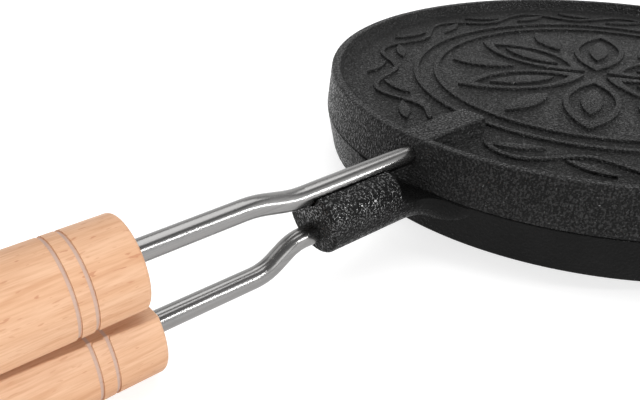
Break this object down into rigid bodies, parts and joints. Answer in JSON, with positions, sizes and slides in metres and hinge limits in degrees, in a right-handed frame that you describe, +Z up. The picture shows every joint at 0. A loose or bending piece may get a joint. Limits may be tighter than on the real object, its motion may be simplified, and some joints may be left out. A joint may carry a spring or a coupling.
{
  "type": "cast iron waffle iron",
  "caption": "Round cast iron waffle iron with hinged plates, studded baking faces, steel handle rods and D-shaped beech grips.",
  "frame": {"origin": "under the middle of the closed iron, on the surface it stands on", "axes": "+Z up, +X from the grips to the hinge, +Y along the hinge axis"},
  "size_m": [0.4488, 0.1998, 0.0434],
  "materials": {
    "cast_iron": "seasoned, fine cast grain",
    "rod_steel": "satin drawn stainless",
    "steel": "satin stainless",
    "beech": "fine sanded beech"
  },
  "bodies": {
    "lower_half": {"lower_plate": "cast_iron", "hinge_pin": "steel", "hinge_washer": "steel", "hinge_split_pin": "steel", "lower_rod": "rod_steel", "lower_grip": "beech", "lower_grip_washer": "steel", "lower_cap_nut": "steel"},
    "upper_half": {"upper_plate": "cast_iron", "upper_rod": "rod_steel", "upper_grip": "beech", "upper_grip_washer": "steel", "upper_cap_nut": "steel"}
  },
  "joints": [
    {"name": "plate_hinge", "type": "hinge", "parent": "lower_half", "child": "upper_half", "pos_m": [0.2174, 0, 0.0211], "axis": [0, 1, 0], "range_deg": [0, 180]}
  ]
}
